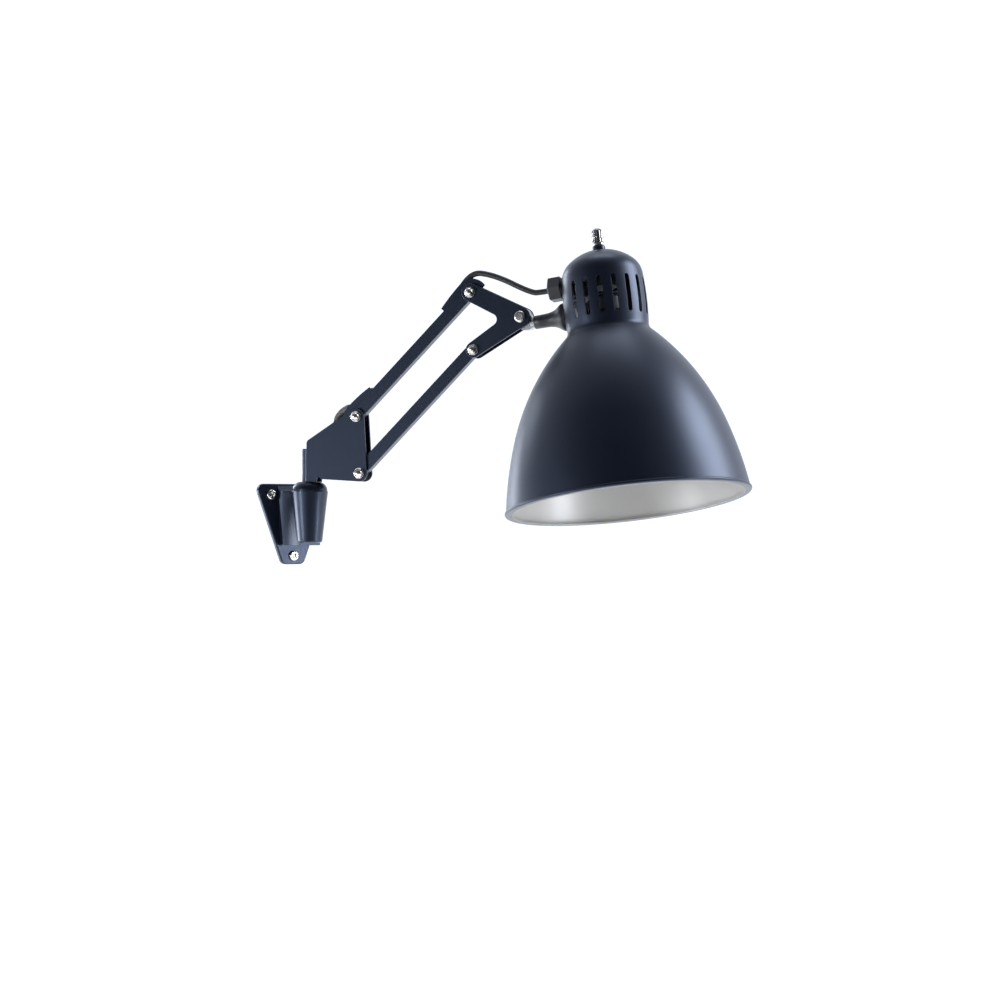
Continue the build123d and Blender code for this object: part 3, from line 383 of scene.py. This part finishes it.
def smoothLine(points):
    # the points of a smooth line that has the route's points as its control points
    curve = bpy.data.curves.new("route", "CURVE")
    curve.dimensions = "3D"
    curve.resolution_u = lead["steps"]
    spline = curve.splines.new("NURBS")
    spline.points.add(len(points) - 1)
    for target, point in zip(spline.points, points):
        target.co = (*point, 1.0)
    spline.order_u = 3
    spline.use_endpoint_u = True
    holder = newPiece("route", curve)
    line = [vertex.co.copy() for vertex in plainMesh(holder).vertices]
    bpy.data.objects.remove(holder)
    return line


def lengthOf(line):
    return sum((b - a).length for a, b in zip(line, line[1:]))


def tubePiece(name, line, radius, material):
    # a round tube on a line's points, as one mesh
    curve = bpy.data.curves.new(name, "CURVE")
    curve.dimensions = "3D"
    curve.bevel_depth = radius
    curve.bevel_resolution = 6
    curve.use_fill_caps = True
    spline = curve.splines.new("POLY")
    spline.points.add(len(line) - 1)
    for target, point in zip(spline.points, line):
        target.co = (*point, 1.0)
    holder = newPiece(name + "Curve", curve)
    mesh = plainMesh(holder)
    bpy.data.objects.remove(holder)
    mesh.name = name
    for polygon in mesh.polygons:
        polygon.use_smooth = len(polygon.vertices) < 6      # the wall, not the flat ends
    piece = newPiece(name, mesh)
    finishWith(piece, material)
    return piece


def splitLine(line, shares):
    # the line's parts between shares of its length, which share their end points
    total = lengthOf(line)
    walked, parts, current, cuts = 0.0, [], [line[0]], list(shares)
    for a, b in zip(line, line[1:]):
        walked += (b - a).length
        current.append(b)
        if cuts and walked >= cuts[0] * total:
            parts.append(current)
            current = [b]
            cuts.pop(0)
    parts.append(current)
    return parts


forkLine = smoothLine(forkRoute)
forkLead = tubePiece("leadAtFork", forkLine, lead["radius"], materials["cable"])
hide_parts("lead_at_fork")
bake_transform(forkLead)
lengthOf(forkLine)
sleeveLine = [point for point in forkLine
              if (point - pivotA).length > lead["sleeveClear"] / 1000
              and point.z > inArmPlane(0, lead["sleeveFrom"]).z
              and (point - post).dot(reach) < lead["sleeveTo"] / 1000]
sleeve = tubePiece("leadSleeve", sleeveLine, lead["sleeve"], materials["sleeve_grey"])
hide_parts("lead_sleeve")
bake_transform(sleeve)

loopLine = smoothLine(loopRoute)
rearLine, middleLine, frontLine = splitLine(loopLine, lead["cuts"])
for name, line, node, bodies in (
    ("leadLoopRear", rearLine, "lead_loop_rear", ("upper_arm", "head_bracket")),
    ("leadLoopMiddle", middleLine, "lead_loop_middle", ("head_bracket", "neck")),
    ("leadLoopFront", frontLine, "lead_loop_front", ("neck", "shade")),
):
    piece = tubePiece(name, line, lead["radius"], materials["cable"])
    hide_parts(node)
    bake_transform(piece)
    lengthOf(line)
print("lead laid, loop", round(lengthOf(loopLine) * 1000), "mm")

# shade: the spun wall, light inside

bell = {"sheet": 1.2, "rim": 107.75, "rimHeight": 3.5, "bead": 1.7, "beadInset": 0.4, "lip": 103.1,
        "lipHeight": 0.4, "rimLean": 7.6, "outerShare": 3.23, "outerTurn": 10.2, "upperShare": 1.995,
        "upperTurn": 28.2, "waist": 8.0, "flare": 2.0, "shoulder": 20.0, "shoulderTurn": 43.0,
        "capHeight": 71.6, "swell": 1.0, "midRise": 29.2, "shoulderDrop": 24.4, "shoulderInset": 1.1,
        "slots": 13, "pitch": 20.0, "slotRise": 6.9, "slotLength": 34.0, "slotWidth": 4.4, "slotSegments": 24,
        "capHole": 3.7, "neckHole": 4.1, "neckRise": 17.2, "neckSide": -36.0, "rounds": 180}
cutter = {"from": 0.020, "length": 0.030, "neckSegments": 48}    # metres from the shade's axis outward


def arcStep(points, lean, radius, turn, steps):
    # adds an arc to a list of (radius, height) points; lean is from upright toward the axis
    r, h = points[-1]
    a = math.radians(lean)
    for k in range(1, steps + 1):
        b = math.radians(lean + turn * k / steps)
        points.append((r - radius * (math.cos(a) - math.cos(b)), h + radius * (math.sin(b) - math.sin(a))))
    return lean + turn


def bellOutline():
    # the outside of the wall from the rim up to the hole in the top, and the waist's height
    b = bell
    points = [(b["rim"], b["rimHeight"])]
    lean = arcStep(points, b["rimLean"], b["outerShare"] * b["rim"], b["outerTurn"], 14)
    lean = arcStep(points, lean, b["upperShare"] * b["rim"], b["upperTurn"], 28)
    arcStep(points, lean, -b["waist"], -lean - b["flare"], 12)
    r0, h0 = points[-1]
    r1, h1 = r0 + b["swell"], h0 + b["midRise"]
    top = h0 + b["capHeight"]
    r2, h2 = r1 - b["shoulderInset"], top - b["shoulderDrop"]

    def barrel(h):
        # the cap's side as a parabola through its foot, its middle and its shoulder
        atFoot = r0 * (h - h1) * (h - h2) / ((h0 - h1) * (h0 - h2))
        atMiddle = r1 * (h - h0) * (h - h2) / ((h1 - h0) * (h1 - h2))
        atShoulder = r2 * (h - h0) * (h - h1) / ((h2 - h0) * (h2 - h1))
        return atFoot + atMiddle + atShoulder

    sideHeights = [h0 + (h2 - h0) * k / 14 for k in range(1, 15)]
    points.extend((barrel(h), h) for h in sideHeights)
    lean = math.degrees(math.atan((barrel(h2 - 0.05) - barrel(h2 + 0.05)) / 0.1))    # of its upper end
    arcStep(points, lean, b["shoulder"], b["shoulderTurn"], 16)
    rs, hs = points[-1]
    dome = (rs ** 2 + (top - hs) ** 2) / (2 * (top - hs))
    first, last = math.asin(rs / dome), math.asin(b["capHole"] / dome)
    for k in range(1, 15):
        turn = first + (last - first) * k / 14
        points.append((dome * math.sin(turn), top - dome + dome * math.cos(turn)))
    return points, h0


def insetLine(points, depth):
    # the same line moved in by the sheet
    moved = []
    for k, (r, h) in enumerate(points):
        before, after = points[max(k - 1, 0)], points[min(k + 1, len(points) - 1)]
        dr, dh = after[0] - before[0], after[1] - before[1]
        size = math.hypot(dr, dh)
        moved.append((r - depth * dh / size, h + depth * dr / size))
    return moved


def shadeCutters(waistHeight):
    # the slots and the hole for the neck, as one mesh
    b = bell
    bm = bmesh.new()
    middle = waistHeight + b["slotRise"] + b["slotLength"] / 2
    straight = (b["slotLength"] - b["slotWidth"]) / 2000
    for k in range(b["slots"]):
        turn = math.radians((k - b["slots"] // 2) * b["pitch"])
        outward = neckAxis * math.cos(turn) + shadeSide * math.sin(turn)
        turned = Matrix((shadeAxis, outward.cross(shadeAxis), outward)).transposed().to_4x4()
        made = bmesh.ops.create_circle(bm, segments=b["slotSegments"], radius=b["slotWidth"] / 2000,
                                       cap_ends=True)["verts"]
        halfStep = Matrix.Rotation(math.pi / b["slotSegments"], 3, "Z")
        bmesh.ops.rotate(bm, cent=(0, 0, 0), matrix=halfStep, verts=made)
        for vertex in made:
            vertex.co.x += straight if vertex.co.x > 0 else -straight
        face = made[0].link_faces[0]
        grown = bmesh.ops.extrude_face_region(bm, geom=[face])["geom"]
        far = [item for item in grown if isinstance(item, bmesh.types.BMVert)]
        bmesh.ops.translate(bm, vec=(0, 0, cutter["length"]), verts=far)
        place = Matrix.Translation(inShade(middle) + outward * cutter["from"]) @ turned
        bmesh.ops.transform(bm, matrix=place, verts=made + far)
    neckRadius = b["neckHole"] / 1000
    hole = bmesh.ops.create_cone(bm, cap_ends=True, segments=cutter["neckSegments"], radius1=neckRadius,
                                 radius2=neckRadius, depth=cutter["length"])["verts"]
    turned = neckAxis.to_track_quat("Z", "Y").to_matrix().to_4x4()
    place = Matrix.Translation(inShade(waistHeight + b["neckRise"], b["neckSide"])) @ turned
    bmesh.ops.transform(bm, matrix=place, verts=hole)
    bmesh.ops.recalc_face_normals(bm, faces=bm.faces)
    return newPiece("shadeCutters", newMesh("shadeCutters", bm))


def cutWith(piece, tool, sharp):
    # takes the tool out of the piece and leaves a plain mesh
    cut = piece.modifiers.new("cut", "BOOLEAN")
    cut.operation, cut.solver, cut.object = "DIFFERENCE", "EXACT", tool
    mesh = plainMesh(piece)
    piece.modifiers.clear()
    piece.data = mesh
    bpy.data.objects.remove(tool)
    smoothUpTo(mesh, sharp)


def makeShade():
    b = bell
    outer, waistHeight = bellOutline()
    inner = insetLine(outer, b["sheet"])
    beadTurns = [math.radians(turn) for turn in range(50, -91, -14)]
    bead = [(b["rim"] - b["beadInset"] + b["bead"] * math.cos(turn),
             b["lipHeight"] + b["bead"] + b["bead"] * math.sin(turn)) for turn in beadTurns]
    lipTop = b["lipHeight"] + b["sheet"]
    foot = bead + [(b["lip"], b["lipHeight"]), (b["lip"], lipTop), (inner[0][0] - 0.1, lipTop)]
    bm = bmesh.new()
    ring = [bm.verts.new(inShade(h, r)) for r, h in outer[::-1] + foot + inner]
    edges = [bm.edges.new(pair) for pair in zip(ring, ring[1:] + ring[:1])]
    spinRound(bm, ring, edges, inShade(0.0), shadeAxis, b["rounds"])
    bmesh.ops.recalc_face_normals(bm, faces=bm.faces)
    shade = newPiece("bellShade", newMesh("bellShade", bm))
    cutWith(shade, shadeCutters(waistHeight), softTo["spun"])
    shade.data.materials.append(materials["navy_shade"])
    shade.data.materials.append(reflectorFinish)
    centre = inShade(0.0)
    for polygon in shade.data.polygons:
        offset = Vector(polygon.center) - centre
        height = offset.dot(shadeAxis) * 1000
        radial = (offset - shadeAxis * offset.dot(shadeAxis)).normalized()
        if height < reflector["top"] and polygon.normal.dot(radial) < reflector["facing"]:
            polygon.material_index = 1
    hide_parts("shade")
    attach(shade, "shade")
    print("shade spun, faces:", len(shade.data.polygons), "waist at", round(waistHeight, 3))


makeShade()

# spun pieces


def spunPiece(name, nodeName, body, foot, axis, outline, material, teeth=None):
    # outline: pairs of height along the axis and radius, in millimetres
    # teeth: their count, and how deep the grooves between them are at a height
    side = axis.orthogonal().normalized()
    other = axis.cross(side)
    bm = bmesh.new()
    line = [bm.verts.new(foot + axis * (h / 1000) + side * (r / 1000)) for h, r in outline]
    edges = [bm.edges.new(pair) for pair in zip(line, line[1:])]
    spinRound(bm, line, edges, foot, axis, 112)
    for vertex in bm.verts if teeth else ():        # presses the grooves between the teeth in
        offset = vertex.co - foot
        height = offset.dot(axis) * 1000
        radial = offset - axis * offset.dot(axis)
        turn = math.atan2(radial.dot(other), radial.dot(side))
        depth = teeth["depth"](height) * (0.5 - 0.5 * math.cos(teeth["count"] * turn))
        vertex.co -= radial.normalized() * (depth / 1000)
    bmesh.ops.recalc_face_normals(bm, faces=bm.faces)
    mesh = newMesh(name, bm)
    smoothUpTo(mesh, softTo["spun"])
    piece = newPiece(name, mesh)
    finishWith(piece, material)
    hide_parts(nodeName)
    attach(piece, body)


trumpet = {"hinge": 60.0,                       # of the roll joint, outward from the front bolt
           "outline": [(11.0, 4.05), (11.0, 5.8), (11.3, 6.05), (18.0, 6.1), (22.0, 6.2), (25.3, 6.45),
                       (28.5, 7.1), (30.5, 7.75), (32.0, 8.5), (34.0, 9.8), (36.0, 11.4), (37.3, 12.2),
                       (38.4, 12.5), (39.3, 12.5), (39.3, 4.05)]}
neckFoot = pointOf("shade_roll") - neckAxis * (trumpet["hinge"] / 1000)
spunPiece("neckTrumpet", "neck_trumpet", "neck", neckFoot, neckAxis, trumpet["outline"],
          materials["black_plastic"])

knob = {"collarTop": 234.814, "teeth": 14, "depth": 0.55, "rows": (4.3, 8.4, 12.3), "rowHalf": 1.9,
        "ring": [(0.2, 2.7), (0.2, 4.7), (0.5, 5.0), (1.8, 5.0), (2.1, 4.7), (2.5, 2.7)],
        "outline": [(2.5, 2.0), (2.5, 4.2), (3.1, 5.1), (4.2, 5.35), (5.6, 5.2), (6.4, 4.6), (7.2, 5.1),
                    (8.4, 5.35), (9.6, 5.2), (10.4, 4.6), (11.2, 5.0), (12.4, 5.2), (13.6, 4.7), (14.9, 3.7),
                    (15.8, 2.2), (16.15, 0.8), (16.2, 0.1)]}


def knurlDepth(height):
    # deepest in the middle of each of the knob's rows
    nearest = min(abs(height - row) for row in knob["rows"])
    return knob["depth"] * max(0.0, 1.0 - (nearest / knob["rowHalf"]) ** 2)


knobFoot = inShade(knob["collarTop"])
spunPiece("switchKnob", "switch_knob", "switch_knob", knobFoot, shadeAxis, knob["outline"],
          brightMetal("blackChrome", "4a4a4c", 0.20, 0.02), {"count": knob["teeth"], "depth": knurlDepth})
spunPiece("knobRing", "switch_knob", "switch_knob", knobFoot, shadeAxis, knob["ring"], materials["nickel"])
print("trumpet and knob spun")

# wall screws with a cross in each head

cross = {"arm": 2.5, "half": 0.5, "depth": 1.3, "above": 0.001, "turns": (25.0, -12.0, 48.0),
         "places": ((-24, 28.5), (24, 28.5), (0, -28.5))}


def mergedCopy(name, nodeName, body):
    # a node's triangles joined into one surface that is smooth up to its edges
    bm = bmesh.new()
    bm.from_mesh(nodes[nodeName].data)
    bmesh.ops.remove_doubles(bm, verts=bm.verts, dist=1e-6)
    mesh = newMesh(name, bm)
    smoothUpTo(mesh, softTo["turned"])
    piece = newPiece(name, mesh)
    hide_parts(nodeName)
    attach(piece, body)
    return piece


def crossCutter(front):
    # the crosses from just in front of the heads to their depth; front is where the heads end
    bm = bmesh.new()
    a, h = cross["arm"], cross["half"]
    corners = [(h, a), (-h, a), (-h, h), (-a, h), (-a, -h), (-h, -h),
               (-h, -a), (h, -a), (h, -h), (a, -h), (a, h), (h, h)]
    for (x, z), turn in zip(cross["places"], cross["turns"]):
        c, t = math.cos(math.radians(turn)), math.sin(math.radians(turn))
        ring = [bm.verts.new(((x + u * c - v * t) / 1000, front - cross["above"], (z + u * t + v * c) / 1000))
                for u, v in corners]
        face = bm.faces.new(ring)
        made = bmesh.ops.extrude_face_region(bm, geom=[face])
        moved = [item for item in made["geom"] if isinstance(item, bmesh.types.BMVert)]
        bmesh.ops.translate(bm, vec=(0, cross["above"] + cross["depth"] / 1000, 0), verts=moved)
    bmesh.ops.recalc_face_normals(bm, faces=bm.faces)
    return newPiece("crossCutter", newMesh("crossCutter", bm))


def cutScrews():
    screws = mergedCopy("wallScrews", "wall_screws", "wall_bracket")
    front = min(vertex.co.y for vertex in screws.data.vertices)
    cutWith(screws, crossCutter(front), softTo["turned"])
    finishWith(screws, materials["nickel"])
    print("screws cut, faces:", len(screws.data.polygons))


cutScrews()

# floor and light

stage = {"floor": -0.32, "size": 14.0, "paper": "f6f6f6", "glow": 0.68, "front": 0.72,
         "tint": (0.84, 0.89, 1.0), "worldStrength": 1.22}
greys = ((0.0, 1.0), (0.13, 1.0), (0.32, 0.50), (0.50, 0.46), (0.70, 0.10), (1.0, 0.06))    # far side to near
lights = (                                      # turn, rise, distance, size and power
    ("rightBox", 92, 26, 1.8, (0.9, 1.1), 34.0),
    ("rightStrip", 66, -8, 1.8, (0.26, 0.5), 11.0),
    ("leftStrip", -62, -8, 1.8, (0.20, 0.6), 13.0),
    ("leftFill", -38, -7, 1.8, (0.5, 0.6), 1.8),
    ("lowLeft", -108, -12, 1.5, (0.6, 0.3), 8.0),
    ("topBox", 165, 76, 1.6, (0.9, 0.5), 5.0),
    ("backLeft", -138, 6, 1.8, (0.5, 1.2), 16.0),
)
toCamera = Vector((-0.566, -0.824, 0.0))
toRight = Vector((0.824, -0.566, 0.0))
lampMiddle = Vector((0.09, -0.16, 0.10))


def makeStage():
    g = Finish("paper")
    g.set(Base_Color=rgb(stage["paper"]), Roughness=0.9)
    g.set(Emission_Color=rgb("ffffff"), Emission_Strength=stage["glow"])
    bm = bmesh.new()
    bmesh.ops.create_grid(bm, x_segments=1, y_segments=1, size=stage["size"] / 2)
    square = Matrix.Rotation(math.atan2(toRight.y, toRight.x), 3, "Z")      # to the camera
    bmesh.ops.rotate(bm, cent=(0, 0, 0), matrix=square, verts=bm.verts)
    middle = lampMiddle + toCamera * (stage["front"] - stage["size"] / 2)
    bmesh.ops.translate(bm, vec=(middle.x, middle.y, stage["floor"]), verts=bm.verts)
    floor = newPiece("floor", newMesh("floor", bm))
    finishWith(floor, g.material)


def softLight(name, turn, rise, distance, size, power):
    # turn in degrees to the right of the camera's side, rise in degrees above level
    data = bpy.data.lights.new(name, "AREA")
    data.shape = "RECTANGLE"
    data.size, data.size_y = size
    data.energy = power
    data.color = stage["tint"]
    obj = newPiece(name, data)
    level = toCamera * math.cos(math.radians(turn)) + toRight * math.sin(math.radians(turn))
    aim = level * math.cos(math.radians(rise)) + up * math.sin(math.radians(rise))
    obj.location = lampMiddle + aim * distance
    obj.rotation_mode = "QUATERNION"
    obj.rotation_quaternion = (-aim).to_track_quat("-Z", "Y")


def makeWorld():
    # white paper behind the lamp, falling off to a dim room on the camera's side
    world = bpy.data.worlds.new("studio")
    world.use_nodes = True
    graph = Graph(world.node_tree)
    direction = graph.add("ShaderNodeTexCoord", output="Generated")
    toward = graph.add("ShaderNodeVectorMath", {"operation": "DOT_PRODUCT"}, (direction, toCamera),
                       output="Value")
    spread = graph.add("ShaderNodeMapRange", {}, {"Value": toward, "From Min": -1.0}, output="Result")
    stops = [(position, tuple(grey * part for part in stage["tint"]) + (1.0,)) for position, grey in greys]
    falloff = graph.add("ShaderNodeValToRGB", {"stops": stops}, {"Fac": spread}, output="Color")
    background = world.node_tree.nodes["Background"]
    graph.feed(background.inputs["Color"], falloff)
    graph.feed(background.inputs["Strength"], stage["worldStrength"])
    scene.world = world


makeStage()
makeWorld()
scene.view_settings.view_transform = "Standard"
for light in lights:
    softLight(*light)
print("stage and light set")
